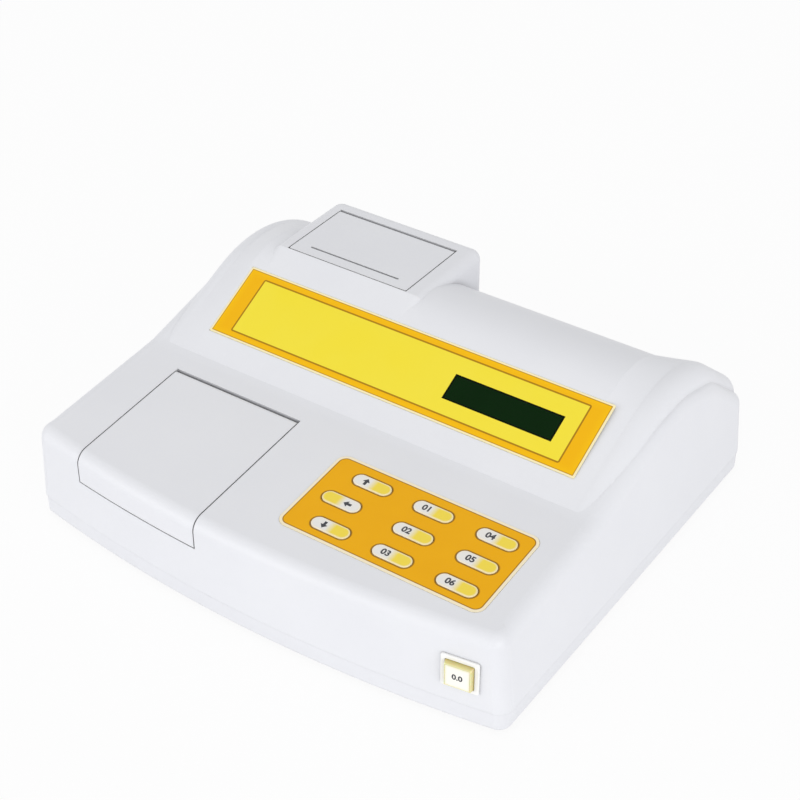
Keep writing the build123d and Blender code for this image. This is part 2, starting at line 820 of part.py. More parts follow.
def makeDisplayModule():
    bezel = Pos(windowX, windowY, 0) * slab(RectangleRounded(*displayBezel[:2], 1.5),
                                            -wall - displayBezel[2], -wall)
    recess = slab(Rectangle(windowWidth - 2 * windowRest, windowHeight - 2 * windowRest), -wall - 1, 0)
    return labelFrame * (bezel - Pos(windowX, windowY, 0) * recess)


def makeDisplayBoard():
    low = -wall - displayBezel[2] - boardThick
    board = Pos(windowX, windowY, 0) * slab(RectangleRounded(*displayBoardSize, 2.0), low, low + boardThick)
    for x in (-displayScrews[0], displayScrews[0]):
        for y in (-displayScrews[1], displayScrews[1]):
            board = board - rodZ(low - 1, low + 3, windowX + x, windowY + y, screwRadius + screwHole)
    header = Pos(windowX, windowY + 14, low - 3) * Box(34, 6, 6)
    return labelFrame * (board + header)


# ---- printer

def makePrinterCover():
    top = base + hoodTop
    panel = box(coverLeft, coverRight, coverFront, coverAxisY, top - coverWall, top)
    corners = [e for e in panel.edges().filter_by(Axis.Z) if e.center().Y < coverFront + 1]
    panel = fillet(corners, 1.2)
    panel = panel + rodX(coverLeft, coverRight, coverAxisY, coverAxisZ, coverBarrel)
    slotX = (coverLeft + coverRight) / 2
    slot = SlotOverall(slotLength, slotWidth)
    panel = panel - Pos(slotX, coverFront + slotSetback, 0) * slab(slot, top - 5, top + 5)
    for pin in coverPinRods(pinGap):
        panel = panel - pin
    return panel


def makeCoverPins():
    return group(coverPinRods(0.0))


frameLeft = coverLeft + frameInset
frameRight = coverRight - frameInset
frameFront = coverFront + frameInset
frameRear = coverAxisY - coverBarrel - 0.6
frameTop = base + hoodTop - coverWall
frameLow = frameTop - frameDepth
rollMid = (coverLeft + coverRight) / 2


def makePrinterFrame():
    outer = box(frameLeft, frameRight, frameFront, frameRear, frameLow, frameTop)
    inner = box(frameLeft + frameWall, frameRight - frameWall, frameFront + frameWall,
                frameRear - frameWall, frameLow + frameWall, frameTop + 1)
    frame = outer - inner
    underHood = base + hoodTop - wall - seat
    for x0, x1 in ((frameLeft - 2.9, frameLeft + 1), (frameRight - 1, frameRight + 4.0)):
        frame = frame + box(x0, x1, frameFront + 22, frameRear - 8, underHood - 2, underHood)
    frame = frame - box(frameLeft + frameWall, frameRight - frameWall, frameFront + 5, frameRear - 5,
                        underHood - 3, underHood + 3)
    rollY, rollZ = rollCentre
    frame = frame - rodX(frameLeft - 1, frameRight + 1, rollY, base + rollZ, spindleRadius + pinGap)
    platenY, platenZ = platenCentre
    frame = frame - rodX(frameLeft - 1, frameRight + 1, platenY, base + platenZ, shaftRadius + pinGap)
    return frame - rodX(frameRight - 4, frameRight + 1, platenY, pinionZ(), 1.4)


def pinionZ():
    return base + platenCentre[1] - gearModule * (platenTeeth + pinionTeeth) / 2


def makePaperRoll():
    y, z = rollCentre
    roll = rodX(rollMid - rollWidth / 2, rollMid + rollWidth / 2, y, base + z, rollRadius)
    return roll - rodX(rollMid - rollWidth, rollMid + rollWidth, y, base + z, spindleRadius + seat)


def makeSpindle():
    y, z = rollCentre
    rod = rodX(frameLeft + 0.3, frameRight - 0.3, y, base + z, spindleRadius)
    for x in (rollMid - rollWidth / 2, rollMid + rollWidth / 2):
        side = -1 if x < rollMid else 1
        flange = Pos(x + side * 1.1, y, base + z) * Rot(0, 90, 0) * Cylinder(spindleFlange, 1.8)
        rod = rod + flange
    return rod


def makePlatenRoller():
    y, z = platenCentre
    roller = rodX(rollMid - rollWidth / 2, rollMid + rollWidth / 2, y, base + z, platenRadius)
    return roller - rodX(rollMid - rollWidth, rollMid + rollWidth, y, base + z, shaftRadius + 0.02)


def makePlatenShaft():
    y, z = platenCentre
    return rodX(frameLeft + 0.2, frameRight + gearWidth + 1.5, y, base + z, shaftRadius)


def gearFace(teeth, phase, bore):
    # involute teeth with a little backlash
    pitch = gearModule * teeth / 2
    baseRadius = pitch * math.cos(math.radians(20))
    tip = pitch + 0.9 * gearModule
    root = pitch - 1.2 * gearModule
    lead = math.tan(math.radians(20)) - math.radians(20)
    halfTooth = math.pi / (2 * teeth) - 0.06 / pitch
    points = []
    for tooth in range(teeth):
        middle = math.radians(phase) + tooth * 2 * math.pi / teeth
        start = max(root, baseRadius)
        flank = [(root, halfTooth + lead)] if root < baseRadius else []
        for step in range(5):
            r = start + (tip - start) * step / 4
            roll = math.acos(min(1.0, baseRadius / r))
            flank.append((r, halfTooth + lead - (math.tan(roll) - roll)))
        for r, angle in flank:
            points.append((r * math.cos(middle - angle), r * math.sin(middle - angle)))
        for r, angle in reversed(flank):
            points.append((r * math.cos(middle + angle), r * math.sin(middle + angle)))
    return make_face(Polyline(*points, close=True)) - Circle(bore)


def gear(x, y, z, teeth, phase, bore):
    return Pos(0, y, z) * prismX(gearFace(teeth, phase, bore), x, x + gearWidth)


def makePlatenGear():
    y, z = platenCentre
    return gear(frameRight + 0.6, y, base + z, platenTeeth, 0.0, shaftRadius + 0.02)


def makePinion():
    y = platenCentre[0]
    pinion = gear(frameRight + 0.6, y, pinionZ(), pinionTeeth, 90.0, 0.3)
    return pinion + rodX(frameRight - frameWall - 8, frameRight + 0.6 + gearWidth, y, pinionZ(), 1.0)


def makeFeedMotor():
    y = platenCentre[0]
    x1 = frameRight - frameWall
    motor = rodX(x1 - motorLength, x1, y, pinionZ(), motorRadius)
    motor = fillet([e for e in motor.edges() if abs(e.center().X - x1 + motorLength) < 0.001], 0.8)
    return motor - rodX(x1 - 9, x1 + 1, y, pinionZ(), 1.1)


def makePrintHead():
    y0 = frameFront + frameWall
    z = base + platenCentre[1]
    head = box(rollMid - rollWidth / 2, rollMid + rollWidth / 2, y0, y0 + headThick - 0.5,
               z - headHeight / 2, z + headHeight / 2)
    strip = box(rollMid - rollWidth / 2, rollMid + rollWidth / 2, y0, y0 + headThick, z - 2, z + 2)
    return head + strip


# ---- push button

def frameBox(side, z0, z1, radius):
    return slab(RectangleRounded(side, side, radius), z0, z1)


def makeButtonBezel():
    bezel = frameBox(bezelSide, 0.15, 0.15 + bezelThick, 1.6)
    rims = [e for e in bezel.edges() if abs(e.center().Z - 0.15 - bezelThick) < 0.001]
    bezel = fillet(rims, 0.6)
    bezel = bezel + frameBox(barrelSide, -buttonDepth, 0.5, 1.0)
    return buttonFrame * (bezel - frameBox(capSide + 2 * capGap, -buttonDepth - 1, 5, 0.9))


def makeButtonCap():
    foot = frameBox(capSide, -capDepth, bezelThick, 0.8)
    angle = math.degrees(math.atan(capTaper / (capProud - bezelThick)))
    top = Pos(0, 0, bezelThick) * extrude(RectangleRounded(capSide, capSide, 0.8),
                                          amount=capProud - bezelThick, taper=angle)
    rims = [e for e in top.edges() if abs(e.center().Z - capProud) < 0.001]
    cap = foot + fillet(rims, 0.3)
    cap = cap - frameBox(faceSide() + 0.2, capProud - 0.8, capProud + 1, 0.5)
    return buttonFrame * (cap + rodZ(-buttonDepth + 0.3, -capDepth + 1, 0, 0, 2.5))


def faceSide():
    return capSide - 2 * capTaper - 2 * faceMargin


def makeButtonFace():
    face = frameBox(faceSide(), capProud - 0.8, capProud + 0.15, 0.4)
    rims = [e for e in face.edges() if abs(e.center().Z - capProud - 0.15) < 0.001]
    return buttonFrame * fillet(rims, 0.1)


def makeButtonSwitch():
    body = frameBox(barrelSide, -buttonDepth - 11, -buttonDepth, 1.0)
    body = body - rodZ(-buttonDepth - buttonTravel - 1.5, -buttonDepth + 1, 0, 0, 2.7)
    for x in (-5, 0, 5):
        body = body + Pos(x, 0, -buttonDepth - 13) * Box(0.6, 2.4, 6)
    return buttonFrame * body


# ---- rear panel

panelOuter = rear - wall - seat
panelFace = panelOuter - panelRecess


def makeRearPanel():
    x0, x1 = panelCentreX - panelWidth / 2, panelCentreX + panelWidth / 2
    z0, z1 = base + panelLow, base + panelHigh
    flange = box(x0 - panelFlange, x1 + panelFlange, panelOuter - panelSheet, panelOuter, z0 - 2.6, z1 + 2.6)
    dish = box(x0, x1, panelFace - panelSheet, panelOuter + wall - 1, z0, z1)
    hollow = box(x0 + panelSheet, x1 - panelSheet, panelFace, rear + 1, z0 + panelSheet, z1 - panelSheet)
    panel = flange + dish - hollow
    for x, z in panelScrews():
        panel = panel - rodY(panelOuter - 3, panelOuter + 1, x, z, screwRadius + screwHole)
    z = panelMidZ()
    for x, width, height in ((inletX, inletBody[0], inletBody[1]), (switchX, switchBody[0], switchBody[1]),
                             (serialX, 20.0, 10.4)):
        panel = panel - Pos(x, panelFace, z) * Box(width + 0.4, 6, height + 0.4)
    return panel - rodY(panelFace - 3, panelFace + 3, fuseX, z, fuseBody + 0.2)


def panelMidZ():
    return base + (panelLow + panelHigh) / 2


def plateY(x, width, height, y0, y1, radius):
    face = Plane.XZ.offset(-y0) * (Pos(x, panelMidZ()) * RectangleRounded(width, height, radius))
    return extrude(face, amount=y1 - y0, dir=(0, 1, 0))


def makePowerInlet():
    width, height, thick = inletFlange
    inlet = plateY(inletX, width, height, panelFace, panelFace + thick, 3.0)
    inlet = inlet + plateY(inletX, inletBody[0], inletBody[1], panelFace - inletBody[2], panelFace + 0.5, 2.0)
    socket = plateY(inletX, inletBody[0] - 3.0, inletBody[1] - 3.2, panelFace - 14.0, panelFace + 4.0, 3.5)
    inlet = inlet - socket
    for x, z in inletPinPlaces():
        inlet = inlet - Pos(x, panelFace - inletBody[2] + 4, z) * Box(2.1, 30, 4.1)
    for side in (-1, 1):
        inlet = inlet - rodY(panelFace - 1, panelFace + 3, inletX + side * 20, panelMidZ(), 1.7)
    return inlet


def inletPinPlaces():
    z = panelMidZ()
    return [(inletX - 7.0, z - 2.0), (inletX + 7.0, z - 2.0), (inletX, z + 2.0)]


def makeInletPins():
    y0 = panelFace - inletBody[2] - 6
    y1 = panelFace - 2.5
    return group([box(x - 1, x + 1, y0, y1, z - 2, z + 2) for x, z in inletPinPlaces()])


def makeSwitchFrame():
    width, height, thick = switchBezel
    frame = plateY(switchX, width, height, panelFace, panelFace + thick, 1.5)
    width, height, depth = switchBody
    frame = frame + plateY(switchX, width, height, panelFace - depth, panelFace + 0.5, 0.6)
    frame = frame - plateY(switchX, 18.0, 11.6, panelFace - 8.0, panelFace + 4, 0.5)
    return frame - rodZ(panelMidZ() - 6.4, panelMidZ() + 6.4, switchX, rockerY(), 1.25)


def rockerY():
    return panelFace - 3.0


def makeRocker():
    profile = Polyline((-7.8, 5.0), (0, 3.6), (7.8, 5.0), (5.0, -3.2), (-5.0, -3.2), close=True)
    rocker = Pos(0, 0, -5.4) * extrude(make_face(profile), amount=10.8)
    rocker = rocker + Cylinder(1.2, 12.6)
    return Pos(switchX, rockerY(), panelMidZ()) * Rot(0, 0, -rockerTilt) * rocker


def makeFuseHolder():
    z = panelMidZ()
    holder = rodY(panelFace, panelFace + 2, fuseX, z, fuseFlange)
    holder = holder + rodY(panelFace - fuseLength - 6, panelFace + 0.5, fuseX, z, fuseBody)
    return holder - rodY(panelFace - fuseLength - 2, panelFace + 3, fuseX, z, fuseCarrier + 0.3)


def makeFuseCap():
    z = panelMidZ()
    y = panelFace + 2
    knob = rodY(y, y + 5, fuseX, z, fuseKnob)
    knob = fillet([e for e in knob.edges() if abs(e.center().Y - y - 5) < 0.001], 0.8)
    knob = knob - Pos(fuseX, y + 5, z) * Box(8.0, 2.0, 1.2)
    return knob + rodY(y - fuseLength, y + 1, fuseX, z, fuseCarrier)


def makeSerialPort():
    z = panelMidZ()
    port = plateY(serialX, serialFlange[0], serialFlange[1], panelFace, panelFace + serialFlange[2], 1.0)
    port = port + plateY(serialX, 19.6, 10.0, panelFace - 10, panelFace + 0.5, 0.6)
    shell = Polyline((-8.6, 4.2), (8.6, 4.2), (7.2, -4.2), (-7.2, -4.2), close=True)
    shell = fillet(make_face(shell).vertices(), 1.6)
    ring = shell - offset(shell, -0.6)
    frame = Plane(origin=(serialX, panelFace, z), x_dir=(-1, 0, 0), z_dir=(0, 1, 0))
    port = port + extrude(frame * ring, amount=6.4)
    for row, count in ((1.42, 5), (-1.42, 4)):
        for step in range(count):
            x = serialX + (step - (count - 1) / 2) * 2.77
            port = port + rodY(panelFace, panelFace + 5.4, x, z + row, 0.5)
    for side in (-1, 1):
        nut = RegularPolygon(2.8, 6)
        nutFrame = Plane(origin=(serialX + side * 12.5, panelFace + 0.5, z), x_dir=(1, 0, 0), z_dir=(0, 1, 0))
        port = port + (extrude(nutFrame * nut, amount=5.0)
                       - rodY(panelFace + 2, panelFace + 9, serialX + side * 12.5, z, 1.3))
    return port


# ---- electronics

def makeMainBoard():
    z = base + mainBoardHeight
    board = box(mainBoardLeft, mainBoardRight, mainBoardFront, mainBoardRear, z, z + boardThick)
    board = fillet(board.edges().filter_by(Axis.Z), 2.0)
    for x, y in mainBoardScrews():
        board = board - rodZ(z - 1, z + 3, x, y, screwRadius + screwHole)
    return board


def boardHeaders():
    # the two ribbon headers: x centre and y centre
    return [(overlayCentre[0], -48.0), (labelMidX + windowX, -10.0)]


def makeBoardParts():
    z = base + mainBoardHeight + boardThick
    parts = [box(x - 17, x + 17, y - 3, y + 3, z, z + 8) for x, y in boardHeaders()]
    parts.append(box(20, 56, 10, 24, z, z + 4))
    parts.append(box(14, 34, -46, -26, z, z + 2.6))
    for x in (72, 92, 112):
        parts.append(box(x, x + 8, 12, 32, z, z + 3.2))
    for x in (20, 36, 52):
        parts.append(rodZ(z, z + 14, x, 38, 5.0))
    parts.append(box(116, 132, 34, 42, z, z + 16))
    return group(parts)


def makeTransformer():
    x, y = transformerAt
    core = Pos(x, y, floorTop + transformerCore[2] / 2) * Box(*transformerCore)
    coil = Pos(x, y, floorTop + transformerCore[2] / 2) * Box(*transformerCoil)
    coil = fillet(coil.edges().filter_by(Axis.Z), 5.0)
    return core + coil


def ribbon(x, points, radius):
    path = FilletPolyline(*[(0, y, z) for y, z in points], radius=radius)
    start = path @ 0
    section = Plane(origin=start, x_dir=(1, 0, 0), z_dir=path % 0) * Rectangle(30, 0.9)
    return Pos(x, 0, 0) * sweep(section, path=path)


def makeRibbons():
    top = base + mainBoardHeight + boardThick + 8
    cables = []
    starts = [(keypadFrame, 0.0, 28.0, -keypadBoardDepth - boardThick - 6),
              (labelFrame, windowX, windowY + 14, -wall - displayBezel[2] - boardThick - 6)]
    for (frame, x, y, z), (headX, headY) in zip(starts, boardHeaders()):
        head = frame.from_local_coords((x, y, z))
        next_ = frame.from_local_coords((x, y, z - 12))
        points = [(head.Y, head.Z), (next_.Y, next_.Z), (headY, top + 12), (headY, top)]
        cables.append(ribbon(headX, points, 7.0))
    return group(cables)


pieces = {
    "top_cover": makeTopCover(),
    "base_tray": makeBaseTray(),
    "feet": makeFeet(),
    "foot_screws": makeFootScrews(),
    "cover_screws": makeCoverScrews(),
    "board_screws": makeBoardScrews(),
    "sample_lid": makeSampleLid(),
    "lid_pins": makeLidPins(),
    "lid_seal": makeLidSeal(),
    "sample_well": makeSampleWell(),
    "cuvette_holder": makeCuvetteHolder(),
    "light_housing": makeLightHousing(),
    "lamp": makeLamp(),
    "lens": makeLens(),
    "filter": makeFilter(),
    "detector_housing": makeDetectorHousing(),
    "detector": makeDetector(),
    "keypad_overlay": makeOverlay(),
    "keypad_board": makeKeypadBoard(),
    "keypad_switches": makeKeypadSwitches(),
    "display_label": makeLabel(),
    "display_window": makeWindow(),
    "display_module": makeDisplayModule(),
    "display_board": makeDisplayBoard(),
    "printer_cover": makePrinterCover(),
    "printer_cover_pins": makeCoverPins(),
    "printer_frame": makePrinterFrame(),
    "paper_roll": makePaperRoll(),
    "paper_spindle": makeSpindle(),
    "platen_roller": makePlatenRoller(),
    "platen_shaft": makePlatenShaft(),
    "platen_gear": makePlatenGear(),
    "motor_pinion": makePinion(),
    "feed_motor": makeFeedMotor(),
    "print_head": makePrintHead(),
    "button_bezel": makeButtonBezel(),
    "button_cap": makeButtonCap(),
    "button_face": makeButtonFace(),
    "button_switch": makeButtonSwitch(),
    "rear_panel": makeRearPanel(),
    "power_inlet": makePowerInlet(),
    "inlet_pins": makeInletPins(),
    "switch_frame": makeSwitchFrame(),
    "switch_rocker": makeRocker(),
    "fuse_holder": makeFuseHolder(),
    "fuse_cap": makeFuseCap(),
    "serial_port": makeSerialPort(),
    "main_board": makeMainBoard(),
    "board_parts": makeBoardParts(),
    "transformer": makeTransformer(),
    "ribbon_cables": makeRibbons(),
}
for name, x, y in keyPlaces():
    pieces["key_" + name] = makeKey(x, y)

os.makedirs("parts", exist_ok=True)
for name, shape in pieces.items():
    export_step(shape, "parts/" + name + ".step")
    print(name, len(shape.solids()), round(shape.volume))
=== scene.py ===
import bmesh
import bpy
import math
from mathutils import Matrix, Vector


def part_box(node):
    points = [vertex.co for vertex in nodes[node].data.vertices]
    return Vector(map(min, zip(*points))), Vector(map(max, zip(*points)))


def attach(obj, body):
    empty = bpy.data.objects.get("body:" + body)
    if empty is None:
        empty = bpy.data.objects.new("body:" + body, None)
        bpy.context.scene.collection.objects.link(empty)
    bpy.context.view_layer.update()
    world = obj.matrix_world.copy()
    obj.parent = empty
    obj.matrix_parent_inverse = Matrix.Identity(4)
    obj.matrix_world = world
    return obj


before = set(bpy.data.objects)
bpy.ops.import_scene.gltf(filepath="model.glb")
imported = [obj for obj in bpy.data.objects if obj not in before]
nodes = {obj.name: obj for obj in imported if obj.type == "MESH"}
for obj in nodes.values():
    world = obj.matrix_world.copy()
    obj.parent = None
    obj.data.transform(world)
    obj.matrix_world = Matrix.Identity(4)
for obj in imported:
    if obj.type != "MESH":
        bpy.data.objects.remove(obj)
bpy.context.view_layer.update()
print("frame loaded:", len(nodes), "nodes")

mm = 0.001
raySamples = 4  # rays of each bevel and corner node
flatWithin = 0.03 * mm  # points this near the furthest one belong to the same flat face


# ---- camera, light and floor

camera = {
    "place": Vector((530.1, -761.7, 756.8)) * mm,
    "target": Vector((-0.8, 10.8, 70.3)) * mm,
    "lens": 80.26,
    "sensor": 36.0,
}
studio = {
    "worldLevel": 0.66,
    "floorColour": (246, 246, 247),
    "floorGlow": 0.92,
    "floorReach": 9.0,
    "lamps": [
        # name, place, size, watts
        ("front_left_lamp", (-1.1, -1.9, 0.6), 1.3, 12.0),
        ("front_right_lamp", (1.9, -1.0, 0.6), 1.3, 14.5),
        ("top_lamp", (-0.6, 0.3, 2.2), 1.6, 2.5),
    ],
}


def colour(red, green, blue):
    linear = [((c / 255 + 0.055) / 1.055) ** 2.4 if c > 10 else c / 255 / 12.92 for c in (red, green, blue)]
    return (*linear, 1.0)


class Value:
    # a number that varies over a surface: a socket with arithmetic
    def __init__(self, shader, socket):
        self.shader = shader
        self.socket = socket

    def maths(self, operation, *others):
        inputs = {0: self}
        for place, other in enumerate(others):
            inputs[place + 1] = other
        return self.shader.value("ShaderNodeMath", {"operation": operation}, inputs)

    def __add__(self, other):
        return self.maths("ADD", other)

    def __radd__(self, other):
        return self.maths("ADD", other)

    def __sub__(self, other):
        return self.maths("SUBTRACT", other)

    def __rsub__(self, other):
        return self.maths("MULTIPLY_ADD", -1.0, other)

    def __mul__(self, other):
        return self.maths("MULTIPLY", other)

    def __rmul__(self, other):
        return self.maths("MULTIPLY", other)

    def __truediv__(self, other):
        return self.maths("DIVIDE", other)

    def __abs__(self):
        return self.maths("ABSOLUTE")

    def most(self, other):
        return self.maths("MAXIMUM", other)

    def least(self, other):
        return self.maths("MINIMUM", other)

    def root(self):
        return self.maths("SQRT")

    def power(self, exponent):
        return self.maths("POWER", exponent)

    def rest(self, length):
        # distance to the nearest multiple of a length
        return self.maths("PINGPONG", length / 2)

    def held(self):
        return self.most(0.0).least(1.0)

    def below(self, edge, soft):
        # 1 under the edge, 0 over it, with a soft step
        return ((edge - self) / soft + 0.5).held()


class Shader:
    # a material, or the world, and the few nodes that its finish needs
    def __init__(self, name, world=None):
        self.material = world or bpy.data.materials.new(name)
        self.material.use_nodes = True
        self.tree = self.material.node_tree
        self.surface = self.tree.nodes.get("Principled BSDF")
        self.output = self.tree.nodes["World Output" if world else "Material Output"]

    def node(self, kind, settings=None, inputs=None):
        node = self.tree.nodes.new(kind)
        for key, value in (settings or {}).items():
            setattr(node, key, value)
        for key, value in (inputs or {}).items():
            self.feed(node.inputs[key], value)
        return node

    def feed(self, socket, value):
        if isinstance(value, Value):
            value = value.socket
        if isinstance(value, bpy.types.NodeSocket):
            self.tree.links.new(value, socket)
        else:
            socket.default_value = value

    def value(self, kind, settings, inputs, output=0):
        return Value(self, self.node(kind, settings, inputs).outputs[output])

    def place(self):
        return self.node("ShaderNodeTexCoord").outputs["Object"]

    def along(self, direction, origin=(0, 0, 0)):
        # how far a point lies from the origin along a direction, in metres
        moved = self.node("ShaderNodeVectorMath", {"operation": "SUBTRACT"}, {0: self.place(), 1: origin})
        return self.value("ShaderNodeVectorMath", {"operation": "DOT_PRODUCT"},
                          {0: moved.outputs[0], 1: direction}, "Value")

    def noise(self, scale, detail=2.0, stretch=(1, 1, 1)):
        spot = self.node("ShaderNodeVectorMath", {"operation": "MULTIPLY"}, {0: self.place(), 1: stretch})
        return self.value("ShaderNodeTexNoise", {},
                          {"Vector": spot.outputs[0], "Scale": scale, "Detail": detail})

    def mix(self, factor, first, second):
        return self.node("ShaderNodeMix", {"data_type": "RGBA"}, {0: factor, 6: first, 7: second}).outputs[2]

    def edges(self, radius):
        # 1 where the surface turns sharply within the radius
        bevel = self.node("ShaderNodeBevel", {"samples": raySamples}, {"Radius": radius}).outputs[0]
        flat = self.node("ShaderNodeNewGeometry").outputs["Normal"]
        same = self.value("ShaderNodeVectorMath", {"operation": "DOT_PRODUCT"}, {0: bevel, 1: flat}, "Value")
        return ((1.0 - same) * 6.0).held()

    def set(self, **inputs):
        names = {"base": "Base Color", "rough": "Roughness", "metal": "Metallic", "coat": "Coat Weight",
                 "alpha": "Alpha", "normal": "Normal", "specular": "Specular IOR Level",
                 "coatRough": "Coat Roughness", "skin": "Subsurface Weight", "skinDepth": "Subsurface Scale"}
        for key, value in inputs.items():
            self.feed(self.surface.inputs[names[key]], value)
        return self

    def show(self, factor, first, second):
        # the output becomes a blend of two shaders
        blend = self.node("ShaderNodeMixShader", {}, {0: factor, 1: first, 2: second})
        self.feed(self.output.inputs["Surface"], blend.outputs[0])
        return self.material

    def bump(self, height, depth, strength=1.0, soften=0.0):
        inputs = {"Height": height, "Distance": depth, "Strength": strength}
        if soften:
            bevel = self.node("ShaderNodeBevel", {"samples": raySamples}, {"Radius": soften})
            inputs["Normal"] = bevel.outputs[0]
        return self.node("ShaderNodeBump", {}, inputs).outputs[0]


# the edge reach is for edges painted lighter, as wear and highlight; the corner reach is for corners and gaps
# painted darker, as dust and shade
moulding = {
    "cloudScale": 18.0,
    "wearAndHighlightReach": 0.5 * mm,
    "dustAndShadeReach": 5 * mm,
    "specular": 0.45,
}


def plainPlastic(name, look):
    # moulded plastic: spark-eroded grain, faint tone changes, softened edges, edges painted lighter as wear
    # and highlight, corners and gaps painted darker as dust and shade
    s = Shader(name)
    grain = s.noise(look["grainScale"], 3.0)
    cloud = s.noise(moulding["cloudScale"], 3.0)
    base = s.mix(cloud, colour(*look["shade"]), colour(*look["tint"]))
    # wear and painted highlight: sharp edges are made lighter
    if "wornAndHighlightColour" in look:
        base = s.mix(s.edges(moulding["wearAndHighlightReach"]) * look["wearAndHighlightAmount"], base, colour(*look["wornAndHighlightColour"]))
    # dust and painted shade: corners and gaps found by ambient occlusion are made darker
    if "dustAndShadeColour" in look:
        openness = s.value("ShaderNodeAmbientOcclusion", {"samples": raySamples},
                           {"Distance": moulding["dustAndShadeReach"]}, "AO")
        corner = (1.0 - openness).power(look["dustAndShadeFall"]) * look["dustAndShadeAmount"]
        base = s.mix(corner, base, colour(*look["dustAndShadeColour"]))
    rough = cloud * 0.1 + grain * 0.06 + (look["rough"] - 0.08)
    normal = s.bump(grain, look["grainDepth"], 0.5, look["softEdge"])
    return s.set(base=base, rough=rough, normal=normal, specular=moulding["specular"]).material


def dress(finish, *names):
    for name in names:
        for place in nodes[name].material_slots:
            place.material = finish


def facing(node, direction):
    # middle of the flat face of a CAD node that looks along a direction
    direction = Vector(direction).normalized()
    points = [vertex.co for vertex in nodes[node].data.vertices]
    reach = max(point.dot(direction) for point in points)
    face = [point for point in points if reach - point.dot(direction) < flatWithin]
    low = Vector([min(point[axis] for point in face) for axis in range(3)])
    high = Vector([max(point[axis] for point in face) for axis in range(3)])
    return (low + high) / 2


def tilted(slope):
    # the up direction of a slope that rises to the rear, and the direction that climbs it
    angle = math.atan(slope)
    return Vector((0, -math.sin(angle), math.cos(angle))), Vector((0, math.cos(angle), math.sin(angle)))


across = Vector((1, 0, 0))


def boxDistance(x, y, halfWidth, halfHeight, radius):
    # signed distance to a rounded rectangle: negative inside
    dx = abs(x) - (halfWidth - radius)
    dy = abs(y) - (halfHeight - radius)
    outside = (dx.most(0.0).power(2.0) + dy.most(0.0).power(2.0)).root()
    return outside + dx.most(dy).least(0.0) - radius


def pillDistance(x, y, length, width):
    past = (abs(x) - (length - width) / 2).most(0.0)
    return (past.power(2.0) + y.power(2.0)).root() - width / 2


def meshPiece(name, points, faces, finish, body):
    mesh = bpy.data.meshes.new(name)
    mesh.from_pydata(points, [], faces)
    mesh.validate()
    piece = bpy.data.objects.new(name, mesh)
    bpy.context.scene.collection.objects.link(piece)
    mesh.materials.append(finish)
    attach(piece, body)
    return piece


# ---- housing

housing = {
    "tint": (238, 239, 243),
    "shade": (232, 233, 238),
    # the darker corner colour is dust and painted shade in gaps and corners; the lighter edge colour is wear
    # and painted highlight
    "dustAndShadeColour": (128, 127, 128),
    "dustAndShadeFall": 1.35,
    "dustAndShadeAmount": 0.85,
    "wornAndHighlightColour": (254, 254, 255),
    "wearAndHighlightAmount": 0.75,
    "rough": 0.42,
    "grainScale": 2400.0,
    "grainDepth": 0.010 * mm,
    "softEdge": 0.45 * mm,
}
trayLook = {**housing, "shade": (230, 231, 236), "rough": 0.46}
shell = plainPlastic("shell_plastic", housing)
dress(shell, "top_cover", "sample_lid", "printer_cover")
dress(plainPlastic("tray_plastic", trayLook), "base_tray")
print("housing done")


# ---- keypad film and keys

keypad = {
    "slope": 0.0863,
    "size": (144.3 * mm, 70.0 * mm),
    "corner": 7.0 * mm,
    "keySize": (26.6 * mm, 9.6 * mm),
    "orange": (250, 184, 8),
    "deep": (245, 177, 5),
    "cream": (255, 243, 212),
    "line": (166, 118, 24),
    "white": (243, 242, 238),
    "yellow": (252, 226, 66),
    "ink": (38, 40, 48),
    "creamWidth": 1.9 * mm,
    "lineWidth": 0.7 * mm,
    "keyLine": 1.15 * mm,
    "fadeStart": 0.2 * mm,
    "fadeLength": 4.5 * mm,
    "markShift": 4.6 * mm,
    "markHeight": 6.2 * mm,
    "markThick": 0.05 * mm,
    "markBold": 0.035,
    "inkWorn": (74, 76, 84),
}
keyMarks = {"up": "arrow", "left": "arrow", "down": "arrow", "test": "01", "zero": "02", "set": "03",
            "mode": "04", "store": "05", "print": "06"}
deckUp, deckRise = tilted(keypad["slope"])


def filmSurface(s, base):
    # gloss of a printed polyester film, with a faint orange-peel surface
    peel = s.noise(900.0, 2.0)
    haze = s.noise(35.0, 3.0)
    normal = s.bump(peel, 0.006 * mm, 0.4, 0.15 * mm)
    return s.set(base=base, rough=haze * 0.12 + 0.3, normal=normal, specular=0.14).material


def keypadFilm():
    s = Shader("keypad_film")
    centre = facing("keypad_overlay", deckUp)
    x = s.along(across, centre)
    y = s.along(deckRise, centre)
    rim = boxDistance(x, y, keypad["size"][0] / 2, keypad["size"][1] / 2, keypad["corner"])
    inset = keypad["creamWidth"]
    base = s.mix(s.noise(60.0, 3.0), colour(*keypad["orange"]), colour(*keypad["deep"]))
    line = abs(rim + inset + keypad["lineWidth"] / 2).below(keypad["lineWidth"] / 2, 0.3 * mm)
    nearest = None
    for name in keyMarks:
        spot = facing("key_" + name, deckUp) - centre
        pill = pillDistance(x - spot.x, y - spot.dot(deckRise), *keypad["keySize"])
        nearest = pill if nearest is None else nearest.least(pill)
    line = line.most(nearest.below(keypad["keyLine"], 0.5 * mm))
    base = s.mix(line, base, colour(*keypad["line"]))
    base = s.mix((0.0 - rim).below(inset, 0.25 * mm), base, colour(*keypad["cream"]))
    return filmSurface(s, base)


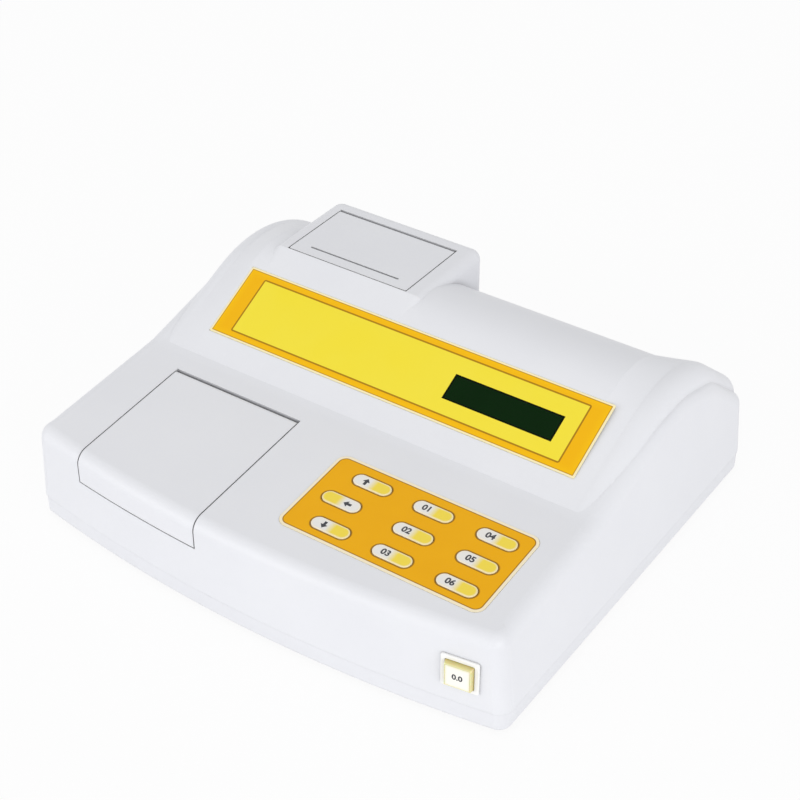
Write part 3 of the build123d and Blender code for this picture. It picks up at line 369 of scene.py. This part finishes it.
def keyPlastic(name):
    s = Shader("key_" + name + "_plastic")
    centre = facing("key_" + name, deckUp)
    way = -1.0 if name == "left" else 1.0
    x = s.along(across, centre) * way
    y = s.along(deckRise, centre)
    pill = pillDistance(x, y, *keypad["keySize"])
    fade = ((x - keypad["fadeStart"]) / keypad["fadeLength"] + 0.5).held()
    speck = s.noise(1500.0, 2.0)
    base = s.mix(fade, colour(*keypad["white"]), colour(*keypad["yellow"]))
    base = s.mix((0.0 - pill).below(0.9 * mm, 1.1 * mm) * 0.75, base, colour(*keypad["cream"]))
    base = s.mix(speck * 0.06, base, colour(*keypad["line"]))
    normal = s.bump(speck, 0.006 * mm, 0.4, 0.25 * mm)
    return s.set(base=base, rough=speck * 0.08 + 0.3, normal=normal).material


def inkFinish():
    s = Shader("printed_ink")
    patchy = s.noise(2500.0, 3.0)
    base = s.mix(patchy * 0.35, colour(*keypad["ink"]), colour(*keypad["inkWorn"]))
    return s.set(base=base, rough=patchy * 0.1 + 0.38, normal=s.bump(patchy, 0.004 * mm, 0.5)).material


def layFlat(outline, centre, right, up, out, thick):
    # a flat outline in local millimetres becomes a thin plate on a surface
    points = [centre + right * (x * mm) + up * (y * mm) + out * z for z in (0.0, thick) for x, y in outline]
    count = len(outline)
    faces = [list(range(count))[::-1], list(range(count, 2 * count))]
    faces += [[i, (i + 1) % count, count + (i + 1) % count, count + i] for i in range(count)]
    return points, faces


def arrowOutline(turn):
    # an arrow that points along +y, turned by a number of quarter turns
    shape = [(-0.95, -2.7), (0.95, -2.7), (0.95, 0.0), (2.5, 0.0), (0.0, 2.9), (-2.5, 0.0), (-0.95, 0.0)]
    for _ in range(turn):
        shape = [(-y, x) for x, y in shape]
    return shape


def numberPiece(name, text, height, centre, right, up, out, thick, finish, body):
    # plain numbers from the built-in font, as thin raised ink
    curve = bpy.data.curves.new(name + "_curve", "FONT")
    curve.body = text
    curve.size = height
    curve.align_x = "CENTER"
    curve.align_y = "CENTER"
    curve.extrude = thick / 2
    curve.offset = height * keypad["markBold"]
    curve.resolution_u = 6
    typed = bpy.data.objects.new(name + "_typed", curve)
    bpy.context.scene.collection.objects.link(typed)
    bpy.context.view_layer.update()
    mesh = bpy.data.meshes.new_from_object(typed)
    bpy.data.objects.remove(typed)
    turn = Matrix((right, up, out)).transposed().to_4x4()
    mesh.transform(Matrix.Translation(centre + out * thick / 2) @ turn)
    mesh.name = name
    piece = bpy.data.objects.new(name, mesh)
    bpy.context.scene.collection.objects.link(piece)
    mesh.materials.clear()
    mesh.materials.append(finish)
    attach(piece, body)
    return piece


def makeKeypad():
    dress(keypadFilm(), "keypad_overlay")
    ink = inkFinish()
    turns = {"up": 0, "left": 1, "down": 2}
    for name, mark in keyMarks.items():
        dress(keyPlastic(name), "key_" + name)
        centre = facing("key_" + name, deckUp)
        shift = keypad["markShift"] if name == "left" else -keypad["markShift"]
        spot = centre + across * shift
        if mark == "arrow":
            points, faces = layFlat(arrowOutline(turns[name]), spot, across, deckRise, deckUp,
                                    keypad["markThick"])
            meshPiece("mark_" + name, points, faces, ink, "button_" + name)
        else:
            numberPiece("mark_" + name, mark, keypad["markHeight"], spot, across, deckRise, deckUp,
                        keypad["markThick"], ink, "button_" + name)


makeKeypad()
print("keypad done")


# ---- display panel

panel = {
    "slope": 0.503,
    "size": (280.3 * mm, 54.7 * mm),
    "inner": (251.7 * mm, 42.5 * mm),
    "innerShift": (0.5 * mm, -0.1 * mm),
    "orange": (255, 200, 6),
    "deep": (248, 185, 5),
    "yellow": (250, 229, 52),
    "pale": (250, 232, 72),
    "cream": (255, 243, 196),
    "line": (172, 124, 16),
    "corner": 1.8 * mm,
    "innerCorner": 1.0 * mm,
    "hairline": 1.3 * mm,
    "lineWidth": 1.1 * mm,
    "glowWidth": 7.0 * mm,
}
display = {
    "tint": (8, 34, 9),
    "smear": (12, 42, 13),
    # the dark edge colour and its width are painted shade round the pane's border
    "edge": (8, 18, 7),
    "borderShadeWidth": 1.3 * mm,
    "corner": 0.3 * mm,
    "cover": 0.94,
    "glass": (20, 60, 24),
    "glassDepth": 0.5 * mm,
    "frame": (22, 22, 24),
    "frameWorn": (34, 34, 36),
}
humpUp, humpRise = tilted(panel["slope"])


def labelFilm():
    s = Shader("label_film")
    centre = facing("display_label", humpUp)
    x = s.along(across, centre)
    y = s.along(humpRise, centre)
    rim = boxDistance(x, y, panel["size"][0] / 2, panel["size"][1] / 2, panel["corner"])
    inner = boxDistance(x - panel["innerShift"][0], y - panel["innerShift"][1],
                        panel["inner"][0] / 2, panel["inner"][1] / 2, panel["innerCorner"])
    glow = ((0.0 - rim) / panel["glowWidth"]).held()
    band = s.mix(glow * 0.7 + s.noise(40.0, 3.0) * 0.3, colour(*panel["orange"]), colour(*panel["deep"]))
    field = s.mix(s.noise(25.0, 2.0), colour(*panel["yellow"]), colour(*panel["pale"]))
    base = s.mix(inner.below(0.0, 0.2 * mm), band, field)
    line = abs(inner).below(panel["lineWidth"] / 2, 0.3 * mm)
    line = line.most(abs(rim + panel["hairline"] + 0.3 * mm).below(0.3 * mm, 0.3 * mm) * 0.8)
    base = s.mix(line, base, colour(*panel["line"]))
    base = s.mix((0.0 - rim).below(panel["hairline"], 0.25 * mm), base, colour(*panel["cream"]))
    return filmSurface(s, base)


def windowPane():
    # dark green tinted pane over the display, with a dark border painted just inside its edge as shade
    s = Shader("window_pane")
    centre = facing("display_window", humpUp)
    x = s.along(across, centre)
    y = s.along(humpRise, centre)
    low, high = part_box("display_window")
    halfHeight = (high.y - low.y) / 2 / math.cos(math.atan(panel["slope"]))
    rim = boxDistance(x, y, (high.x - low.x) / 2, halfHeight, display["corner"])
    # painted shade: a dark border just inside the pane's edge
    film = (0.0 - rim).below(display["borderShadeWidth"], 0.3 * mm)
    smear = s.noise(30.0, 4.0, (1, 0.3, 1))
    base = s.mix(smear, colour(*display["tint"]), colour(*display["smear"]))
    base = s.mix(film, base, colour(*display["edge"]))
    return s.set(base=base, alpha=film.most(display["cover"]), rough=smear * 0.1 + 0.14,
                 specular=0.03).material


def displayGlass():
    # the liquid crystal glass in its black metal frame
    s = Shader("display_glass")
    height = s.along(humpUp, facing("display_module", humpUp))
    cloud = s.noise(60.0, 3.0)
    glass = s.mix(cloud * 0.3, colour(*display["glass"]), colour(*display["smear"]))
    deep = height.below(-display["glassDepth"], 0.1 * mm)
    frameTint = s.mix(s.noise(300.0, 3.0), colour(*display["frame"]), colour(*display["frameWorn"]))
    base = s.mix(deep, frameTint, glass)
    normal = s.bump(s.noise(900.0), 0.01 * mm, 0.3)
    return s.set(base=base, rough=0.45 - deep * 0.3, normal=normal).material


dress(labelFilm(), "display_label")
dress(windowPane(), "display_window")
dress(displayGlass(), "display_module")
print("display done")


# ---- push button on the front wall

button = {
    "lean": 0.151,
    # the bezel's darker corner colour is dust and painted shade in its corners and gaps
    "bezel": {"tint": (253, 253, 252), "shade": (249, 249, 248), "rough": 0.25, "grainScale": 1500.0,
              "grainDepth": 0.004 * mm, "softEdge": 0.3 * mm, "dustAndShadeColour": (200, 196, 180),
              "dustAndShadeFall": 2.0, "dustAndShadeAmount": 0.55},
    "amber": (240, 228, 158),
    # painted shade deep in the cap's sides, and a painted highlight on its front edges
    "amberPaintedShade": (176, 156, 74),
    "amberPaintedHighlight": (252, 246, 214),
    "paintedShadeDepth": 4.0 * mm,
    "face": (253, 251, 243),
    "faceEdge": (250, 244, 214),
    "markHeight": 5.4 * mm,
    "markThick": 0.05 * mm,
}
buttonOut = Vector((button["lean"], -math.sqrt(1 - button["lean"] ** 2), 0))
buttonRight = Vector((-buttonOut.y, buttonOut.x, 0))
upright = Vector((0, 0, 1))


def amberCap():
    # clear yellowish plastic: painted shade deep in the sides towards the bezel, painted highlight on the
    # front edges
    s = Shader("amber_cap")
    front = facing("button_cap", buttonOut)
    depth = s.along(buttonOut, front)
    veil = s.noise(120.0, 3.0)
    # painted shade: the sides darken towards the bezel
    fade = (depth / button["paintedShadeDepth"] + 1.0).held()
    base = s.mix(fade, colour(*button["amberPaintedShade"]), colour(*button["amber"]))
    # painted highlight on the edges
    base = s.mix(s.edges(0.7 * mm) * 0.8, base, colour(*button["amberPaintedHighlight"]))
    s.set(base=base, rough=veil * 0.08 + 0.12, coat=veil * 0.2 + 0.3, coatRough=0.05)
    return s.set(skin=0.25, skinDepth=3 * mm, normal=s.bump(veil, 0.02 * mm, 0.3, 0.3 * mm)).material


def buttonFaceFinish():
    s = Shader("button_face_finish")
    front = facing("button_face", buttonOut)
    x = s.along(buttonRight, front)
    z = s.along(upright, front)
    low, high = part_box("button_face")
    half = (high.z - low.z) / 2
    rim = (0.0 - boxDistance(x, z, half, half, 0.5 * mm)).below(0.8 * mm, 1.2 * mm)
    speck = s.noise(1200.0, 2.0)
    base = s.mix(rim * 0.8, colour(*button["face"]), colour(*button["faceEdge"]))
    s.set(base=base, rough=speck * 0.1 + 0.25, coat=speck * 0.2 + 0.3)
    return s.set(normal=s.bump(speck, 0.004 * mm, 0.4)).material


def makeButton():
    dress(plainPlastic("bezel_plastic", button["bezel"]), "button_bezel")
    dress(amberCap(), "button_cap")
    dress(buttonFaceFinish(), "button_face")
    centre = facing("button_face", buttonOut)
    numberPiece("mark_read", "0.0", button["markHeight"], centre, buttonRight, upright, buttonOut,
                button["markThick"], bpy.data.materials["printed_ink"], "read_button")


makeButton()
print("push button done")


# ---- inner pieces, rear and underside

# the black plastic's lighter edge colour is wear and painted highlight
blackLook = {"tint": (34, 34, 37), "shade": (26, 26, 29), "wornAndHighlightColour": (88, 88, 92), "wearAndHighlightAmount": 0.25, "rough": 0.48,
             "grainScale": 2200.0, "grainDepth": 0.015 * mm, "softEdge": 0.3 * mm}
acetalLook = {"tint": (236, 233, 222), "shade": (228, 224, 210), "rough": 0.38, "grainScale": 1600.0,
              "grainDepth": 0.006 * mm, "softEdge": 0.12 * mm}


# edge colour for metal: wear and painted highlight
metalWornAndHighlight = (232, 232, 234)


def metal(name, tint, rough, direction):
    # plated or brushed metal: fine lines along one direction, edges painted brighter as wear and highlight
    s = Shader(name)
    stretch = [1.0 if part else 0.04 for part in direction]
    lines = s.noise(5200.0, 3.0, [1.04 - amount for amount in stretch])
    cloud = s.noise(160.0, 3.0)
    base = s.mix(lines * 0.5, colour(*tint), colour(*[channel * 0.82 for channel in tint]))
    # wear and painted highlight on the edges
    base = s.mix(s.edges(0.25 * mm) * 0.4, base, colour(*metalWornAndHighlight))
    normal = s.bump(lines, 0.004 * mm, 0.4, 0.12 * mm)
    return s.set(base=base, metal=cloud * 0.05 + 0.95, rough=lines * 0.12 + cloud * 0.08 + rough,
                 normal=normal).material


rubberLook = {"black": (24, 24, 25), "bloom": (52, 52, 52)}


def rubber():
    # matt black with a greyish bloom
    s = Shader("rubber")
    grain = s.noise(3000.0, 3.0)
    bloom = s.noise(90.0, 4.0)
    base = s.mix(bloom * 0.5, colour(*rubberLook["black"]), colour(*rubberLook["bloom"]))
    return s.set(base=base, rough=grain * 0.1 + 0.78, normal=s.bump(grain, 0.03 * mm, 0.6, 0.3 * mm)).material


board = {
    "green": (14, 78, 44),
    "track": (24, 104, 58),
    "via": (190, 186, 168),
    "viaPitch": (5.08 * mm, 7.62 * mm),
    "viaRadius": 0.35 * mm,
}


def boardSurface():
    # green solder mask over copper tracks, with plated vias on a grid
    s = Shader("board_green")
    tracks = s.noise(240.0, 1.0, (1, 0.12, 1)).below(0.52, 0.02) * s.noise(90.0).below(0.55, 0.03)
    x, y = s.along(across), s.along((0, 1, 0))
    reach = (x.rest(board["viaPitch"][0]).power(2.0) + y.rest(board["viaPitch"][1]).power(2.0)).root()
    via = reach.below(board["viaRadius"], 0.1 * mm)
    base = s.mix(tracks, colour(*board["green"]), colour(*board["track"]))
    base = s.mix(via * s.noise(70.0).below(0.5, 0.02), base, colour(*board["via"]))
    return s.set(base=base, rough=tracks * 0.1 + 0.3, normal=s.bump(tracks, 0.03 * mm, 0.5)).material


paper = {"white": (247, 247, 246), "shade": (196, 194, 190), "turn": 0.5 * mm}


def paperWinding():
    # plain paper, with the turns of the roll showing on its two ends
    s = Shader("paper_winding")
    low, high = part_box("paper_roll")
    middle = (low + high) / 2
    y, z = s.along((0, 1, 0), middle), s.along((0, 0, 1), middle)
    radius = (y.power(2.0) + z.power(2.0)).root()
    turns = radius.rest(paper["turn"]) / (paper["turn"] / 2)
    fibre = s.noise(2600.0, 4.0, (1, 0.3, 1))
    ends = abs(s.along(across, middle)).below((high.x - low.x) / 2 - 0.1 * mm, 0.05 * mm)
    marks = (1.0 - ends) * turns
    base = s.mix(marks * 0.35 + fibre * 0.1, colour(*paper["white"]), colour(*paper["shade"]))
    normal = s.bump(marks * 0.6 + fibre * 0.4, 0.05 * mm, 0.5)
    return s.set(base=base, rough=fibre * 0.1 + 0.72, normal=normal).material


glassFilm = (240, 244, 246)


def clearGlass(name, tint, alpha):
    s = Shader(name)
    film = s.noise(300.0, 3.0)
    base = s.mix(film * 0.2, colour(*tint), colour(*glassFilm))
    return s.set(base=base, rough=film * 0.06 + 0.03, alpha=film * 0.1 + alpha).material


transformer = {
    "sheet": 0.7 * mm,
    "coreHalf": 11.2 * mm,
    "steel": (70, 70, 74),
    "varnish": (40, 40, 44),
    "rust": (104, 66, 40),
    "tape": (226, 190, 60),
    "tapeDeep": (210, 170, 44),
}


def laminations():
    # thin varnished sheets, stacked along y, around the taped coil
    s = Shader("laminations")
    low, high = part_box("transformer")
    middle = (low + high) / 2
    y = s.along((0, 1, 0), middle)
    sheets = y.rest(transformer["sheet"]) / (transformer["sheet"] / 2)
    rust = s.noise(120.0, 4.0)
    core = s.mix(sheets * 0.5, colour(*transformer["steel"]), colour(*transformer["varnish"]))
    core = s.mix(rust.power(3.0) * 0.8, core, colour(*transformer["rust"]))
    tape = s.mix(s.noise(40.0), colour(*transformer["tape"]), colour(*transformer["tapeDeep"]))
    coil = 1.0 - abs(y).below(transformer["coreHalf"], 0.1 * mm)
    base = s.mix(coil, core, tape)
    normal = s.bump(sheets * (1.0 - coil) + s.noise(500.0) * 0.3, 0.08 * mm, 0.5)
    return s.set(base=base, rough=0.5 - coil * 0.15, metal=(1.0 - coil) * 0.4, normal=normal).material


# the groove colour is painted shade between the cores
ribbon = {"pitch": 1.27 * mm, "grey": (168, 168, 166), "grooveShade": (120, 120, 120), "first": (176, 40, 34)}


def ribbonSurface():
    # flat grey cable of round cores, the first one red, with painted shade in the grooves between cores
    s = Shader("ribbon_surface")
    low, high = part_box("ribbon_cables")
    x = s.along(across, low)
    cores = (x.rest(ribbon["pitch"]) / (ribbon["pitch"] / 2)).power(2.0)
    first = x.below(ribbon["pitch"], 0.1 * mm)
    # painted shade in the grooves between the round cores, with random tone
    base = s.mix(cores * 0.4 + s.noise(80.0) * 0.2, colour(*ribbon["grey"]), colour(*ribbon["grooveShade"]))
    base = s.mix(first, base, colour(*ribbon["first"]))
    return s.set(base=base, rough=cores * 0.05 + 0.42, normal=s.bump(1.0 - cores, 0.3 * mm, 0.6)).material


# the lighter edge colour is wear and painted highlight
coat = {"grey": (204, 205, 208), "cloud": (196, 197, 201), "wornAndHighlightColour": (232, 232, 234)}


def powderCoat():
    # grey powder coat with an orange-peel surface
    s = Shader("powder_coat")
    peel = s.noise(1400.0, 3.0)
    cloud = s.noise(30.0)
    base = s.mix(cloud, colour(*coat["grey"]), colour(*coat["cloud"]))
    # edges painted lighter: wear and painted highlight
    base = s.mix(s.edges(0.3 * mm) * 0.15, base, colour(*coat["wornAndHighlightColour"]))
    normal = s.bump(peel, 0.03 * mm, 0.6, 0.25 * mm)
    return s.set(base=base, rough=peel * 0.1 + 0.42, normal=normal).material


# the lighter edge colour is wear and painted highlight
component = {"black": (30, 30, 33), "cloud": (44, 44, 48), "wornAndHighlightColour": (96, 96, 100)}


def partsFinish():
    # dark moulded component bodies with edges painted lighter, as wear and highlight
    s = Shader("component_body")
    grain = s.noise(2600.0, 3.0)
    base = s.mix(s.noise(60.0), colour(*component["black"]), colour(*component["cloud"]))
    # edges painted lighter: wear and painted highlight
    base = s.mix(s.edges(0.3 * mm) * 0.3, base, colour(*component["wornAndHighlightColour"]))
    return s.set(base=base, rough=grain * 0.1 + 0.5, normal=s.bump(grain, 0.02 * mm, 0.5, 0.15 * mm)).material


steel = metal("plated_steel", (196, 197, 200), 0.28, (0, 0, 1))
black = plainPlastic("black_plastic", blackLook)
acetal = plainPlastic("acetal", acetalLook)
dress(steel, "foot_screws", "cover_screws", "board_screws", "lid_pins", "printer_cover_pins", "platen_shaft",
      "inlet_pins", "serial_port")
dress(metal("motor_can", (186, 188, 192), 0.3, (1, 0, 0)), "feed_motor", "detector")
dress(black, "sample_well", "cuvette_holder", "light_housing", "detector_housing", "printer_frame",
      "paper_spindle", "power_inlet", "switch_frame", "switch_rocker", "fuse_holder", "fuse_cap",
      "button_switch")
dress(rubber(), "feet", "lid_seal", "platen_roller")
dress(boardSurface(), "keypad_board", "display_board", "main_board")
dress(paperWinding(), "paper_roll")
dress(clearGlass("optic_glass", (214, 226, 232), 0.25), "lens", "lamp")
dress(clearGlass("filter_glass", (36, 92, 190), 0.55), "filter")
dress(laminations(), "transformer")
dress(ribbonSurface(), "ribbon_cables")
dress(powderCoat(), "rear_panel")
dress(partsFinish(), "keypad_switches", "board_parts", "print_head")
dress(acetal, "platen_gear", "motor_pinion")
print("inner pieces done")


# ---- floor, world and lamps

def seenDirectly(s):
    # 1 for the camera, glossy and transmitted rays, which see the plain background
    path = s.node("ShaderNodeLightPath").outputs
    direct, glossy, through = [Value(s, path["Is " + kind + " Ray"])
                               for kind in ("Camera", "Glossy", "Transmission")]
    return direct.most(glossy).most(through)


def makeFloor():
    reach = studio["floorReach"]
    mesh = bpy.data.meshes.new("floor")
    corners = [(-reach, -reach, 0), (reach, -reach, 0), (reach, reach, 0), (-reach, reach, 0)]
    mesh.from_pydata(corners, [], [(0, 1, 2, 3)])
    floor = bpy.data.objects.new("floor", mesh)
    bpy.context.scene.collection.objects.link(floor)
    s = Shader("floor_surface")
    plain = s.node("ShaderNodeBsdfDiffuse", {}, {"Color": colour(*studio["floorColour"])}).outputs[0]
    glow = s.node("ShaderNodeEmission", {}, {"Strength": 1.0}).outputs[0]
    bright = s.node("ShaderNodeMixShader", {}, {0: studio["floorGlow"], 1: plain, 2: glow}).outputs[0]
    mesh.materials.append(s.show(seenDirectly(s), plain, bright))


def makeWorld():
    world = bpy.data.worlds.new("studio")
    s = Shader("studio", world)
    white = {"Color": (1.0, 1.0, 1.0, 1.0)}
    light = s.node("ShaderNodeBackground", {}, {**white, "Strength": studio["worldLevel"]}).outputs[0]
    plain = s.node("ShaderNodeBackground", {}, {**white, "Strength": 1.0}).outputs[0]
    bpy.context.scene.world = s.show(seenDirectly(s), light, plain)


def makeLamps():
    for name, place, size, watts in studio["lamps"]:
        data = bpy.data.lights.new(name, "AREA")
        data.shape = "SQUARE"
        data.size = size
        data.energy = watts
        lamp = bpy.data.objects.new(name, data)
        bpy.context.scene.collection.objects.link(lamp)
        lamp.location = place
        lamp.rotation_euler = (Vector((0, 0, 0.05)) - Vector(place)).to_track_quat("-Z", "Y").to_euler()


def makeCamera():
    data = bpy.data.cameras.new("camera")
    data.sensor_width = camera["sensor"]
    data.lens = camera["lens"]
    eye = bpy.data.objects.new("camera", data)
    bpy.context.scene.collection.objects.link(eye)
    eye.location = camera["place"]
    eye.rotation_euler = (camera["target"] - camera["place"]).to_track_quat("-Z", "Y").to_euler()
    bpy.context.scene.camera = eye


makeFloor()
makeWorld()
makeLamps()
makeCamera()
bpy.context.scene.view_settings.view_transform = "Standard"
print("studio done")
